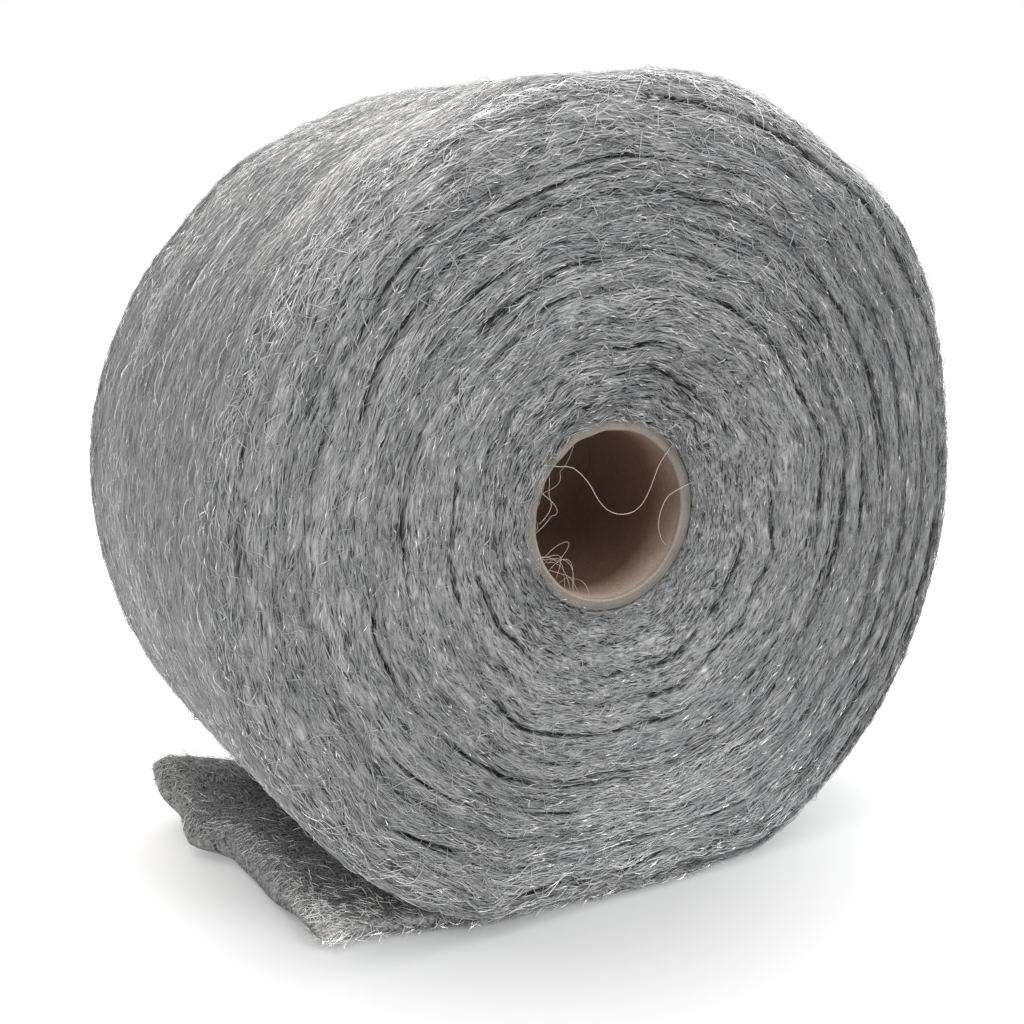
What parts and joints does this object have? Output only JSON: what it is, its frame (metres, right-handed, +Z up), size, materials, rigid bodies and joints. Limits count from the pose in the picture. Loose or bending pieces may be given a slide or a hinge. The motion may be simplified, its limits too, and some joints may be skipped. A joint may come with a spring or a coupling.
{
  "type": "roll of aluminium wool",
  "caption": "Soft roll of fine aluminium wool strip wound on a plain card core, lying on its side with a short torn tail; for polishing, filtering and packing.",
  "frame": {"origin": "on the floor below the roll's axis, at the middle of the strip's width", "axes": "+Y along the roll's axis from its front face to its back face, +Z up, and the torn tail lies towards -X"},
  "size_m": [0.1892, 0.0986, 0.1822],
  "materials": {
    "wool": "matted fine metal fibres, dull grey with small glints",
    "card": "bare brown wound paper board, matt"
  },
  "bodies": {
    "root": {"wool_roll": "wool", "core_tube": "card"}
  },
  "joints": []
}
